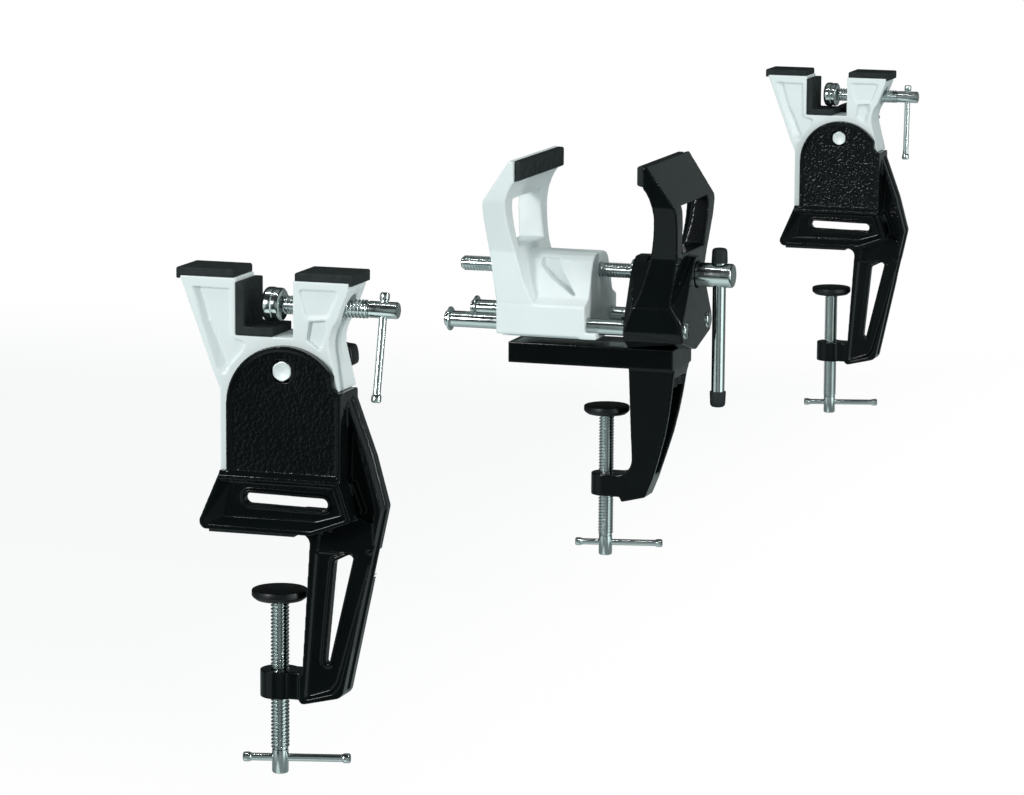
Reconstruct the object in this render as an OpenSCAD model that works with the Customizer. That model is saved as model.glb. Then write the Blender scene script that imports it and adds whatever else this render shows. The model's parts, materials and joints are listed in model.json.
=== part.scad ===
// Ski tuning vise set: two end supports and a centre vise that clamp to a bench edge.
// X runs along the bench edge, Y into the bench, Z up. The origin is the centre vise's
// seat on the bench top, on the axis of its clamp screw. All lengths are millimetres.

/* [Set-up on the bench] */
// Place of the near end support along the bench edge
near_x = -608; // [-900:1:-200]
// Place of the far end support along the bench edge
far_x = 622; // [200:1:900]
// Bench thickness gripped by the end supports
end_grip = 32; // [15:0.5:45]
// Bench thickness gripped by the centre vise
centre_grip = 28.7; // [15:0.5:45]

/* [Bench clamps] */
// Distance from a clamp screw's axis to the face that meets the bench edge
edge_stop = 20; // [18.5:0.5:26]
// Height of the clamp mouth, from the seat to the threaded boss
mouth_h = 76; // [60:1:100]
// Height of the threaded boss
boss_h = 15; // [12:0.5:20]
// How much lower the mouth of the centre vise is
centre_mouth_cut = 2; // [0:0.5:8]
// Outside diameter of the threaded boss
boss_d = 21.6; // [18:0.2:26]
// Thickness of the rubber pad under an end support
bench_pad_t = 3; // [2:0.5:5]
// Diameter of the pressure pad under the bench
clamp_pad_d = 30.5; // [24:0.5:31]
// Height of the pressure pad under the bench
clamp_pad_h = 6; // [5.5:0.5:9]

/* [Screws and bars] */
// Outside diameter of the trapezoidal screws
screw_d = 10; // [9:0.5:12]
// Length of a clamp screw, from its pad's face to its end
clamp_screw_len = 101.7; // [95:0.1:115]
// Length of the plain end that carries a bar
plain_len = 13.5; // [12:0.5:16]
// Diameter of the plain end
plain_d = 9; // [8:0.2:9]
// Distance from the end of a screw to the axis of its bar
bar_from_end = 8.5; // [6:0.5:10]
// Length of a small sliding bar
bar_len = 58.4; // [48:0.2:66]
// Diameter of a small sliding bar
bar_d = 4.2; // [3.6:0.2:5]
// Length of the swaged end of a small bar
swage_len = 4.5; // [3:0.5:6]
// Radial clearance of every sliding and turning fit
fit_gap = 0.05; // [0.03:0.01:0.08]

/* [End support casting] */
// Thickness of the front plate
plate_t = 5; // [4:0.5:8]
// Radius of the half-round top of the front plate
plate_r = 32.3; // [28:0.1:34]
// Height of the centre of that half round above the bench
plate_arc_z = 70.4; // [66:0.2:74]
// Offset of the plate's centre line from the clamp screw's axis
plate_y = -9.3; // [-11:0.1:-8]
// Height of the foot panel's top edge
foot_h = 32; // [28:0.5:34]
// Width of the bench seat across the casting
foot_w = 42; // [36:1:50]
// Depth of the C-shaped beam along the bench
beam_w = 17; // [14:0.5:20]
// Thickness of the web inside the beam
web_t = 5; // [4:0.5:8]
// Width of the rim around the web
rim_w = 4; // [3:0.5:5]
// Across-flats size of the pocket that keeps the head bolt from turning
pocket_af = 11.6; // [11.2:0.1:12]

/* [End support head] */
// Depth of the white head along the bench
head_w = 28; // [24:1:30]
// Height of the head's top face above the bench
head_top = 137; // [130:0.5:146]
// Width of the slot for a ski held on edge
slot_w = 32.5; // [26:0.5:36]
// Height of the slot's floor above the bench
slot_z = 106.5; // [104:0.5:110]
// Offset of the slot's middle from the clamp screw's axis
slot_y = 3.3; // [2:0.1:5]
// Thickness of the slot's liner
liner_t = 4.8; // [3:0.2:6]
// Height of the jaw screw's axis above the bench
jaw_z = 122; // [120:0.5:126]
// Diameter of the jaw screw's pressure pad
jaw_pad_d = 18.6; // [14:0.2:20]
// Thickness of the jaw screw's pressure pad
jaw_pad_t = 10.4; // [6:0.2:12]
// Gap between the pressure pad and the liner
jaw_gap = 7; // [3:0.2:9]
// Thickness of the rubber rest blocks
rest_t = 4.5; // [3:0.5:7]
// Upward travel of the head
head_lift = 25; // [15:1:25]
// Diameter of the bolt that locks the head
head_bolt_d = 6; // [5:0.5:6]
// Diameter of the star knob on that bolt
knob_d = 49; // [36:1:50]

/* [Centre vise] */
// Width of the base beam along the bench
base_w = 46; // [40:1:56]
// Thickness of the base beam
base_t = 14; // [12:0.5:16]
// Height of the guide rods above the bench
rod_z = 28; // [26:0.5:30]
// Distance between the guide rods
rod_pitch = 55; // [50:1:58]
// Diameter of the guide rods
rod_d = 10.8; // [9:0.2:12]
// Height of the main screw above the bench
main_z = 62; // [58:0.5:66]
// Diameter of the main screw's plain hub
hub_d = 16; // [14:0.5:18]
// Height of the jaws above the bench
jaw_top = 137.5; // [130:0.5:145]
// Width of the jaws at the top
jaw_w = 103; // [90:1:110]
// Opening between the rubber pads of the jaws
jaw_open = 79; // [70:1:90]
// Thickness of the rubber pads of the jaws
jaw_rubber_t = 4.5; // [3:0.5:6]
// Diameter of the main sliding bar
main_bar_d = 8.8; // [7:0.2:9]
// Length of the main sliding bar with its caps
main_bar_len = 106; // [90:1:120]

/* [Rest position of the bars] */
// Turn of the near clamp bar from square to the bench edge
near_clamp_turn = 15; // [0:1:45]
// Turn of the far clamp bar
far_clamp_turn = 16; // [0:1:45]
// Turn of the centre clamp bar
centre_clamp_turn = 13; // [0:1:45]
// Lean of the near jaw bar from plumb
near_bar_lean = 14; // [0:1:30]
// Lean of the far jaw bar from plumb
far_bar_lean = 4; // [0:1:30]
// How far the clamp bars stand off centre
clamp_bar_shift = 9; // [0:1:18]

/* [Hidden] */
$fn = 48;
nudge = 0.01;

paint_black = [0.06, 0.065, 0.07];
paint_white = [0.86, 0.88, 0.87];
zinc = [0.68, 0.71, 0.72];
rubber_black = [0.10, 0.11, 0.11];

// derived sizes of the clamps
screw_r = screw_d / 2;
boss_top = -mouth_h;
boss_bottom = boss_top - boss_h;
bar_half = bar_len / 2;

// derived sizes of an end support
plate_back = -head_w / 2 - 0.1;
plate_front = plate_back - plate_t;
foot_front = plate_front - 2;
plate_left = plate_y + plate_r;
plate_right = plate_y - plate_r;
wall_y = plate_right + 5;
shelf_z = plate_arc_z + 8.2;
kink = [plate_right - 18.7, foot_h / 2];
toe = [-38.3, boss_bottom + 3.4];
heel = [-boss_d / 2 - 2.9, boss_bottom - 2];
fillet_r = 5;
web_front = -beam_w / 2 + 2;
bolt_y = plate_y + 0.8;
bolt_z = plate_arc_z + 18.8;
slot_left = slot_y + slot_w / 2;
slot_right = slot_y - slot_w / 2;
head_right = slot_right - 31.5;
head_left = slot_left + 31.8;
pad_face = slot_left - liner_t - jaw_gap;
jaw_screw_end = pad_face - 75.1;

// derived sizes of the centre vise
front_face = -61.5;
front_inner = -edge_stop - 0.5;
beam_front = -51.7;
beam_back = 62;
ski_y = 6.5;
front_rubber_y = ski_y - jaw_open / 2;
rear_rubber_y = ski_y + jaw_open / 2;
rear_inner = 5;
rear_outer = 66;
rear_low = base_t + 4;
rod_x = rod_pitch / 2;
screw_bar_y = -76.4;
hub_end = screw_bar_y - 9.8;
bar_above = 18.2;
cap_len = 10.5;
rod_end = 104;
hub_seat = front_face + 3.8;
jaw_bolt = [8, -45.5];
centre_boss_top = boss_top + centre_mouth_cut;
centre_boss_bottom = boss_bottom + centre_mouth_cut;

// a profile drawn in Y and Z, spread along X
module along_x(w) { rotate([90, 0, 90]) linear_extrude(w, center = true) children(); }
// a profile drawn in X and Z, spread along Y from y0 to y1
module along_y(y0, y1) { translate([0, y1, 0]) rotate([90, 0, 0]) linear_extrude(y1 - y0) children(); }
// a cylinder along X, Y or Z from one place to another
module rod_x_dir(r, x0, x1) { translate([x0, 0, 0]) rotate([0, 90, 0]) cylinder(r = r, h = x1 - x0); }
module rod_y_dir(r, y0, y1) { translate([0, y1, 0]) rotate([90, 0, 0]) cylinder(r = r, h = y1 - y0); }
// points along an arc
function arc(c, r, a0, a1, n) = [for (i = [0:n]) let (a = a0 + (a1 - a0) * i / n) [c[0] + r * cos(a), c[1] + r * sin(a)]];
// a slot with round ends, from a to b
module round_slot(a, b, r) {
  turn = atan2(b[1] - a[1], b[0] - a[0]);
  polygon(concat(arc(a, r, turn + 270, turn + 90, 12), arc(b, r, turn + 90, turn - 90, 12)));
}
// a flat-sided dish between an outline at x0 and a smaller one at x1
module dish_x(x0, x1) {
  hull() {
    translate([x0, 0, 0]) along_x(nudge) children(0);
    translate([x1, 0, 0]) along_x(nudge) children(1);
  }
}

// Bench clamp parts, drawn about the clamp screw's axis

module clamp_pad(grip) {
  edge = 2;
  color(rubber_black) translate([0, 0, -grip]) difference() {
    union() {
      translate([0, 0, edge - clamp_pad_h]) cylinder(d = clamp_pad_d, h = clamp_pad_h - edge - 0.6);
      translate([0, 0, -0.6]) cylinder(d1 = clamp_pad_d, d2 = clamp_pad_d - 1.2, h = 0.6);
      translate([0, 0, -clamp_pad_h]) cylinder(d1 = clamp_pad_d - 2 * edge, d2 = clamp_pad_d, h = edge);
    }
    translate([0, 0, -clamp_pad_h - 1]) cylinder(r = 4 + fit_gap, h = clamp_pad_h - 1);
  }
}

module clamp_screw(grip, turn) {
  pivot = -grip - 2.2;
  neck = -grip - clamp_pad_h - 0.3;
  end = -grip - clamp_screw_len;
  color(zinc) difference() {
    union() {
      translate([0, 0, neck]) cylinder(r = 4, h = pivot - neck);
      translate([0, 0, end + plain_len]) cylinder(r = screw_r, h = neck - end - plain_len);
      translate([0, 0, end + 0.8]) cylinder(d = plain_d, h = plain_len - 0.8);
      translate([0, 0, end]) cylinder(d1 = plain_d - 1.6, d2 = plain_d, h = 0.8);
    }
    translate([0, 0, end + bar_from_end]) rotate([0, 0, turn]) rod_y_dir(bar_d / 2 + fit_gap, -8, 8);
  }
}

// a sliding bar with swaged ends, centred on the origin along Y
module sliding_bar() {
  color(zinc) {
    rod_y_dir(bar_d / 2, -bar_half + swage_len / 2, bar_half - swage_len / 2);
    for (s = [-1, 1]) translate([0, s * (bar_half - swage_len / 2), 0])
      rod_y_dir(bar_d / 2 + 0.6, -swage_len / 2, swage_len / 2);
  }
}

module clamp_bar(grip, turn) {
  translate([0, 0, -grip - clamp_screw_len + bar_from_end]) rotate([0, 0, turn])
    translate([0, -clamp_bar_shift, 0]) sliding_bar();
}

// End support, drawn about its own clamp screw's axis

// outline of the C-shaped beam and its wing
module beam_outline() {
  polygon(concat(
    [[wall_y, shelf_z], [plate_right + 1.5, shelf_z], [plate_right, shelf_z - 1.5], [plate_right, shelf_z - 5.4],
     [plate_right - 11.4, 42.5], kink],
    arc(toe + [4.4, 4], 5.2, 190, 258, 5),
    arc(heel + [-2.6, 2.8], 2.8, 255, 360, 5),
    [[heel[0], boss_top - 3], [heel[0] - 1, boss_top - 0.6], [heel[0] - 2, boss_top + 1]],
    arc([-edge_stop + fillet_r, -fillet_r], fillet_r, 180, 90, 6),
    [[-edge_stop + fillet_r, bench_pad_t], [-edge_stop + fillet_r, foot_h], [wall_y, foot_h]]));
}

// the deep field in front of the wing's web
module wing_field() {
  polygon([
    [plate_right - 1, shelf_z - 14], [plate_right - 14.4, kink[1] + 3.4],
    [plate_right - 15, kink[1] - 3], [plate_right - 12.5, 8], [plate_right - 5, 11], [plate_right + 1, foot_h + 4]]);
}

// shallow field that joins the wing's field to the arm's
module link_field() {
  polygon([
    [kink[0] + 4.2, -7], [kink[0] + 4.2, kink[1] - 5], [plate_right - 12, 10], [plate_right - 7.4, 12],
    [plate_right - 4, 10], [plate_y - 16, 3.4], [-edge_stop - 5.4, 2.6], [-edge_stop - 4.4, -8]]);
}

// the arm's field, drawn in by g
module arm_field(g) {
  polygon([
    [kink[0] + 4.4 + g, -8 - g], [toe[0] + 2.4 + g, toe[1] + 7 + g], [toe[0] + 6 + g, toe[1] + 2.6 + g],
    [heel[0] - rim_w - 0.8 - g, heel[1] + 3.6 + g], [heel[0] - rim_w - g, heel[1] + 6],
    [heel[0] - 2 - rim_w - g, boss_top - 1], [-edge_stop - rim_w - g, -9 - g]]);
}

window_top = [[-44.6, -9.7], [-33.2, -12.6]];
window_foot = [-29.6, -68.6];

// tapered window of the arm, grown by g for its lip
module arm_window(g) {
  polygon(concat(
    arc(window_top[0] + [2.6, -2.4], 2.4 + g, 165, 80, 4),
    arc(window_top[1] + [-2.6, -2.6], 2.4 + g, 80, 5, 4),
    arc(window_foot, 1.3 + g, 0, -175, 6)));
}

foot_low = bench_pad_t - 0.9;
foot_outline = [
  [plate_left + 4.2, foot_h], [plate_left + 15.1, 7], [plate_left + 15, 5], [plate_left + 13.6, 2.9],
  [plate_left + 12, foot_low], [plate_y - 16, foot_low], [plate_right - 6, 10.6], [plate_right - 6.2, 11.6],
  [plate_right + 0.8, foot_h]];

// outline of the panel's dish at the front, and of its floor
module foot_dish() {
  polygon([
    [plate_left + 3.2, foot_h - 2], [plate_left + 12.8, 7.4], [plate_left + 11.8, 4.6],
    [plate_y - 15.6, 4.4], [plate_right - 3.7, 12], [plate_right + 2.2, foot_h - 2]]);
}
module foot_dish_floor() {
  polygon([
    [plate_left - 1.6, foot_h - 3.6], [plate_left + 2.4, 9.4], [plate_left + 2.2, 9],
    [plate_y - 18.4, 9.2], [plate_right - 0.6, 13.6], [plate_right + 4.8, foot_h - 3.6]]);
}

slot_a = [9.8, 19.9];
slot_b = [-31.4, 19.2];

// half-round-topped plate outline, drawn in by g
module plate_outline(g) {
  polygon(concat(
    [[plate_left - g, foot_h - 1]],
    arc([plate_y, plate_arc_z], plate_r - g, 0, 148, 24),
    [[plate_right + 5 + g * 0.7, shelf_z + 3.6], [plate_right + 2.8 + g * 0.6, shelf_z + 0.8 - g * 0.6],
     [plate_right + g, shelf_z - g], [plate_right + g, foot_h - 1]]));
}

// foot panel's wall: the part of its outline in front of the bench edge
module foot_cheek() {
  polygon([
    [-edge_stop, bench_pad_t], [-edge_stop, foot_h], [plate_right + 0.8, foot_h],
    [plate_right - 4.8, 12.6], [plate_y - 16, bench_pad_t]]);
}

module frame_solid() {
  // C-beam with its rim, and the webs between
  difference() {
    along_x(beam_w) beam_outline();
    for (s = [-1, 1]) translate([s * (web_t + beam_w) / 2, 0, 0]) along_x(beam_w) wing_field();
    dish_x(-beam_w / 2 - nudge, web_front) { arm_field(-1); arm_field(0.8); }
    translate([beam_w / 2 + web_front + web_t, 0, 0]) along_x(beam_w) arm_field(0);
    translate([0.9 - beam_w / 2, 0, 0]) along_x(2.2) link_field();
    // hollow behind the foot's slot
    translate([-2, wall_y + 2.6, foot_h - 23.5]) cube([12, -edge_stop - wall_y + 6, 18.3]);
  }
  translate([web_front + 2.6, 0, 0]) along_x(6.8) arm_window(2);
  // a short rib on the wing, beside the foot panel
  translate([-4.6, 0, 0]) along_x(5.2) polygon([
    [plate_right - 0.6, 29.4], [plate_right - 2.2, 29.8], [plate_right - 8.2, 14], [plate_right - 6.6, 13.4]]);
  // threaded boss and the neck that joins it to the arm
  translate([0, 0, boss_bottom]) cylinder(d = boss_d, h = boss_h);
  translate([1 - beam_w / 2, -17.5, boss_bottom]) cube([beam_w - 1, 13.5, boss_h]);
  // front plate with its raised edge
  translate([plate_back - plate_t / 2, 0, 0]) along_x(plate_t) difference() {
    plate_outline(0);
    translate([bolt_y, bolt_z]) circle(head_bolt_d / 2 + 0.3);
  }
  translate([plate_front - 0.3, 0, 0]) along_x(0.8) difference() {
    plate_outline(0);
    plate_outline(2);
  }
  // wall beside the head, and the shelf under its flange
  translate([plate_back - 1, plate_right + 0.2, foot_h - 1]) cube([beam_w / 2 - plate_back + 1, 4.8, shelf_z - foot_h + 1]);
  translate([plate_back - 1, plate_right, shelf_z - 5.4]) cube([beam_w / 2 - plate_back + 1, 5, 3.9]);
  // foot panel with its sloping shoulder
  translate([(foot_front + plate_back) / 2, 0, 0]) along_x(plate_back - foot_front) polygon(foot_outline);
  along_y(plate_right + 1, plate_left + 4) polygon([
    [foot_front, foot_h - 0.2], [plate_front - 0.4, foot_h + 2.2], [plate_back - 1, foot_h + 2.2], [plate_back - 1, foot_h - 0.2]]);
  translate([-11, 0, 0]) along_x(8) foot_cheek();
  // sole on the bench, top of the foot and its left wall
  translate([foot_front + 1.5, -edge_stop - 12, bench_pad_t]) cube([foot_w - 1, plate_left + edge_stop + 24.8, 5]);
  translate([plate_back - 1, wall_y + 1, foot_h - 5]) cube([head_w, plate_left - wall_y + 2, 4.5]);
  translate([plate_back - 1, plate_left + 0.5, bench_pad_t + 4]) cube([head_w - 4, 4, foot_h - bench_pad_t - 6]);
}

module frame_casting() {
  color(paint_black) difference() {
    union() {
      difference() {
        frame_solid();
        // dished panel with sloping sides
        dish_x(foot_front - nudge, foot_front + 3.4) { foot_dish(); foot_dish_floor(); }
        // window of the arm
        along_x(60) arm_window(0);
        // thread bore of the boss
        translate([0, 0, boss_bottom - 1]) cylinder(r = screw_r + fit_gap, h = boss_h + 2);
        // pocket of the head bolt
        translate([plate_front - 2, bolt_y, bolt_z]) rotate([0, 90, 0]) rotate(30)
          cylinder(d = pocket_af / cos(30), h = 6, $fn = 6);
      }
      // lip around the slot of the foot
      translate([foot_front + 4.6, 0, 0]) along_x(6) round_slot(slot_a, slot_b, 4.8);
    }
    along_x(100) round_slot(slot_a, slot_b, 3);
  }
}

module bench_pad() {
  seat = -edge_stop + fillet_r + 0.4;
  color(rubber_black) translate([foot_front + 4, seat, 0]) {
    cube([foot_w - 6, plate_left + 11.2 - seat, foot_low - 0.05]);
    translate([plate_back - foot_front - 3.9, 0, 0]) cube([foot_w - 2 - plate_back + foot_front - 0.1, plate_left + 11.2 - seat, bench_pad_t]);
  }
}

// outline of the white head, with its stem
module head_outline() {
  polygon(concat(
    [[plate_left + 5.4, foot_h + 0.5], [plate_left + 5.5, 77], [32, 85.3], [42, 112], [head_left, head_top],
     [slot_left, head_top], [slot_left, slot_z], [slot_right, slot_z], [slot_right, head_top],
     [head_right, head_top], [head_right + 0.6, head_top - 4]],
    arc([-52.3, 104], 19.3, 40, -12, 8),
    [[plate_right + 3, shelf_z + 0.1], [wall_y + 0.3, shelf_z + 0.1], [wall_y + 0.3, foot_h + 0.5]]));
}

// shallow pockets of the right cheek
module cheek_pocket() {
  polygon([
    [slot_right - 3.4, head_top - 5.6], [slot_right - 4.4, head_top - 4.6], [head_right + 7.6, head_top - 4.4],
    [head_right + 6.4, head_top - 6.2], [head_right + 11.2, head_top - 17.4], [head_right + 12.6, head_top - 18.6],
    [slot_right - 8.2, head_top - 19.6], [slot_right - 6.4, head_top - 18]]);
}

module cheek_hollow() {
  polygon([
    [slot_right - 9, head_top - 21.4], [head_right + 13.4, head_top - 20.4], [head_right + 12.6, head_top - 26],
    [head_right + 15.4, head_top - 35.6], [head_right + 17.2, head_top - 36], [slot_right - 7.4, head_top - 31]]);
}

// pocket of the left cheek: its flat floor, and its outer side that slopes down to it
slope_top = [[head_left - 6.3, head_top - 6], [head_left - 12.2, head_top - 25.6], [head_left - 21.5, head_top - 50.1]];
slope_foot = [[slot_left + 19.1, head_top - 6], [slot_left + 14, head_top - 23], [slot_left + 8.7, 103.7], [slot_left + 3.5, 90]];

module cheek_field() {
  polygon(concat(slope_foot, [
    [slot_right + 28.2, slot_z - 7.7], [slot_right + 27.2, slot_z - 4.7], [slot_right + 28, slot_z - 3.3],
    [slot_left + 0.6, slot_z - 2.3], [slot_left + 2.4, slot_z - 0.6], [slot_left + 2.8, slot_z + 6],
    [slot_left + 3.2, head_top - 6]]));
}

module cheek_slope() {
  dish_x(-head_w / 2 - nudge, 1.5 - head_w / 2) {
    polygon([slope_top[0], slope_top[1], slope_foot[1], slope_foot[0]]);
    polygon([slope_foot[0], slope_foot[1], slope_foot[1] + [0.2, 0]]);
  }
  dish_x(-head_w / 2 - nudge, 1.5 - head_w / 2) {
    polygon([
      slope_top[1], slope_top[2], slope_top[2] - [1.2, 1.7], slope_top[2] - [3.5, 2.2], slope_top[2] - [5.2, 1.1],
      slope_foot[3], slope_foot[2], slope_foot[1]]);
    polygon([slope_foot[1], slope_foot[2], slope_foot[3], slope_foot[2] + [0.2, 0]]);
  }
}

module head_casting() {
  color(paint_white) difference() {
    along_x(head_w) head_outline();
    for (s = [-1, 1]) {
      translate([s * head_w / 2, 0, 0]) along_x(2.4) cheek_pocket();
      translate([s * head_w / 2, 0, 0]) along_x(5) cheek_hollow();
      translate([s * head_w / 2, 0, 0]) along_x(3) cheek_field();
      scale([-s, 1, 1]) cheek_slope();
    }
    // slot of the locking bolt, so that the head can be raised
    along_x(head_w + 2) round_slot([bolt_y, bolt_z - head_lift], [bolt_y, bolt_z], head_bolt_d / 2 + 0.5);
    // thread bore of the jaw screw, with its spot face
    translate([0, 0, jaw_z]) rod_y_dir(screw_r + fit_gap, head_right - 5, slot_right + 1);
    translate([0, 0, jaw_z]) rod_y_dir(screw_r + 2.5, head_right - 5, head_right + 9);
    // pockets that lighten the stem, open to the rear
    for (z = [foot_h + 5, 62]) translate([head_w / 2 - 9, plate_y - 20, z]) cube([10, 11, 20]);
    for (z = [foot_h + 5, 62]) translate([head_w / 2 - 9, plate_y + 12, z]) cube([10, 17, 20]);
  }
}

module jaw_liner() {
  color(rubber_black) translate([-head_w / 2 - 0.5, 0, 0]) {
    translate([0, slot_left - liner_t, slot_z]) cube([head_w + 1, liner_t, head_top - slot_z - 2]);
    translate([0, slot_left - 21, slot_z]) cube([head_w + 1, 21 - liner_t + nudge, liner_t]);
  }
}

// rubber rest on a cheek of the head, hooked over its outer corner
module rest_block(inner, outer) {
  s = sign(outer - inner);
  color(rubber_black) along_x(head_w) polygon([
    [inner + s * 1, head_top], [inner + s * 1, head_top + rest_t - 0.8], [inner + s * 1.8, head_top + rest_t],
    [outer + s * 1.3, head_top + rest_t], [outer + s * 1.9, head_top + rest_t - 0.6],
    [outer + s * 1.9, head_top - 1.4], [outer + s * 0.6, head_top - 1.8], [outer, head_top - 1.4],
    [outer, head_top]]);
}

module head_bolt() {
  knob_reach = head_w / 2 + 16;
  color(zinc) translate([0, bolt_y, bolt_z]) {
    intersection() {
      translate([plate_front + 0.1, 0, 0]) rotate([0, 90, 0]) rotate(30)
        cylinder(d = 10 / cos(30), h = 3.9, $fn = 6);
      translate([plate_front + 0.1, 0, 0]) rotate([0, 90, 0]) union() {
        cylinder(d1 = 9.6, d2 = 12, h = 0.8);
        translate([0, 0, 0.8]) cylinder(d = 12, h = 3.1);
      }
    }
    rod_x_dir(head_bolt_d / 2, plate_front + 3, knob_reach);
  }
}

module knob_washer() {
  color(zinc) translate([head_w / 2 + 0.1, bolt_y, bolt_z]) difference() {
    rod_x_dir(8, 0, 1.6);
    rod_x_dir(head_bolt_d / 2 + 0.3, -1, 3);
  }
}

module star_knob(turn) {
  lobes = 5;
  hub_x = head_w / 2 + 1.8;
  color(rubber_black) translate([hub_x, bolt_y, bolt_z]) rotate([0, 90, 0]) difference() {
    union() {
      cylinder(d = 17, h = 10);
      translate([0, 0, 7]) difference() {
        cylinder(d = knob_d, h = 13);
        for (i = [0:lobes - 1]) rotate(82 + turn + i * 360 / lobes) translate([knob_d / 2 + 3.2, 0, -1])
          cylinder(d = 21, h = 15);
      }
    }
    translate([0, 0, -1]) cylinder(r = head_bolt_d / 2 + fit_gap, h = 17);
  }
}

// Jaw screw of an end support, drawn about the head's own axes
module jaw_pad() {
  color(zinc) translate([0, 0, jaw_z]) difference() {
    union() {
      rod_y_dir(jaw_pad_d / 2, pad_face - jaw_pad_t + 1, pad_face - 2.4);
      translate([0, pad_face, 0]) rotate([90, 0, 0]) cylinder(d1 = jaw_pad_d - 5, d2 = jaw_pad_d, h = 2.4 + nudge);
      translate([0, pad_face - jaw_pad_t + 1, 0]) rotate([90, 0, 0])
        cylinder(d1 = jaw_pad_d, d2 = jaw_pad_d - 3, h = 1);
    }
    rod_y_dir(3 + fit_gap, pad_face - jaw_pad_t - 1, pad_face - 2);
  }
}

module jaw_screw(lean) {
  shoulder = pad_face - jaw_pad_t - 0.2;
  color(zinc) translate([0, 0, jaw_z]) difference() {
    union() {
      rod_y_dir(3, shoulder - 0.5, pad_face - 2.2);
      rod_y_dir(screw_r, jaw_screw_end + plain_len + 3, shoulder);
      rod_y_dir(plain_d / 2, jaw_screw_end + 0.8, jaw_screw_end + plain_len + 3.5);
      translate([0, jaw_screw_end + 0.8, 0]) rotate([90, 0, 0]) cylinder(d1 = plain_d, d2 = plain_d - 1.6, h = 0.8);
    }
    translate([0, jaw_screw_end + bar_from_end, 0]) rotate([0, lean, 0])
      translate([0, 0, -8]) cylinder(r = bar_d / 2 + fit_gap, h = 16);
  }
}

module jaw_bar(lean) {
  hang = bar_half - swage_len - plain_d / 2 - 0.2;
  translate([0, jaw_screw_end + bar_from_end, jaw_z]) rotate([0, lean, 0])
    translate([0, 0, -hang]) rotate([90, 0, 0]) sliding_bar();
}

// Centre vise

// half width of the arm at height z: it narrows down to the boss
function arm_half(z) = z > -70 ? 10 + 8.5 * (70 + z) / 70 : 10;

arm_outer = [
  [beam_front, 0], [-50.4, -6], [-48.9, -18], [-46.8, -31], [-43.6, -46], [-39, -62], [-34.6, -76]];

module arm_outline() {
  polygon(concat(
    [[front_inner + 0.5, 0.1], [beam_front, 0.1]], arm_outer,
    [[-31.8, centre_boss_bottom + 6], [-29.5, centre_boss_bottom + 0.6], [-14, centre_boss_bottom - 3.2],
     [-12.8, centre_boss_bottom - 2.6], [-12.3, centre_boss_bottom], [0, centre_boss_bottom],
     [0, centre_boss_top], [-9.5, centre_boss_top]],
    arc([-9.5, centre_boss_top + 11], 11, 270, 180, 6)));
}

module centre_base() {
  color(paint_black) difference() {
    union() {
      // beam on the bench
      translate([-base_w / 2, beam_front, 0]) cube([base_w, beam_back - beam_front, base_t]);
      // arm, narrowing towards its foot
      intersection() {
        along_x(60) arm_outline();
        along_y(-70, 20) polygon([
          [-arm_half(0), 0.2], [-arm_half(-70), -70], [-arm_half(-70), -120],
          [arm_half(-70), -120], [arm_half(-70), -70], [arm_half(0), 0.2]]);
      }
      translate([0, 0, centre_boss_bottom]) cylinder(d = 20, h = boss_h);
    }
    // channel along the back of the arm
    intersection() {
      along_x(60) polygon([
        [-60, -7], [beam_front + 12, -7], [-40, -31], [-37, -52], [-32.5, -72], [-60, -78]]);
      along_y(-70, 20) polygon([
        [5 - arm_half(0), -7], [5 - arm_half(-70), -74], [arm_half(-70) - 5, -74], [arm_half(0) - 5, -7]]);
    }
    translate([0, 0, centre_boss_bottom - 1]) cylinder(r = screw_r + fit_gap, h = boss_h + 2);
    // holes of the bolts that hold the front jaw, from the channel up
    for (s = [-1, 1]) translate([s * jaw_bolt[0], jaw_bolt[1], -10]) cylinder(r = 3.3, h = base_t + 12);
  }
}

// section of the jaw bodies, around the screw and the two rods
module body_section(low) {
  hip = [rod_x + 9.5, rod_z + 14];
  half = [
    [base_w / 2, low], [base_w / 2, low + 3.4], [hip[0], rod_z - 7], [hip[0], hip[1] - 0.8], [hip[0] - 0.8, hip[1]],
    [hip[0] - 8, hip[1] + 3], [rod_x - 0.3, hip[1] + 4.6], [rod_x - 4.6, main_z - 5], [rod_x - 8, main_z + 2.6],
    [rod_x - 10.4, main_z + 7.4], [rod_x - 14.5, main_z + 10.4], [rod_x - 21, main_z + 12]];
  polygon(concat(half, [for (i = [len(half) - 1:-1:0]) [-half[i][0], half[i][1]]]));
}

module body_bores(y0, y1, rod_gap) {
  for (s = [-1, 1]) translate([s * rod_x, 0, rod_z]) rod_y_dir(rod_d / 2 + rod_gap, y0, y1);
}

// upright of the front jaw seen from the side; the rear jaw uses it mirrored
inner_curve = [
  [4.5, -14.6], [6.7, -17.4], [9, -22.4], [10.5, -27.4], [11, -32.7], [10.7, -38.8], [9.8, -46.1], [8.5, -53.5],
  [6.3, -63.3], [4.2, -70.4], [1.3, -80], [-1.3, -86.1], [-4.2, -92.3], [-5, -95.2]];

module upright_side(y_rubber, s) {
  // offsets are from the rubber pad's face, outward, and from the jaw's top
  polygon([for (p = concat(
    [[4.5, -0.6], [7.4, 0], [26.2, -27.4], [26.8, -31], [26.7, -40], [25, -60], [20, -95.2]],
    [for (i = [len(inner_curve) - 1:-1:0]) inner_curve[i]])) [y_rubber - s * p[0], jaw_top + p[1]]]);
}

module upright_face() {
  polygon([
    [-jaw_w / 2, jaw_top + 1], [-jaw_w / 2 + 3, jaw_top - 27], [-37.5, jaw_top - 61.5], [-37, rod_z + 14],
    [37, rod_z + 14], [37.5, jaw_top - 61.5], [jaw_w / 2 - 3, jaw_top - 27], [jaw_w / 2, jaw_top + 1]]);
}

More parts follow.
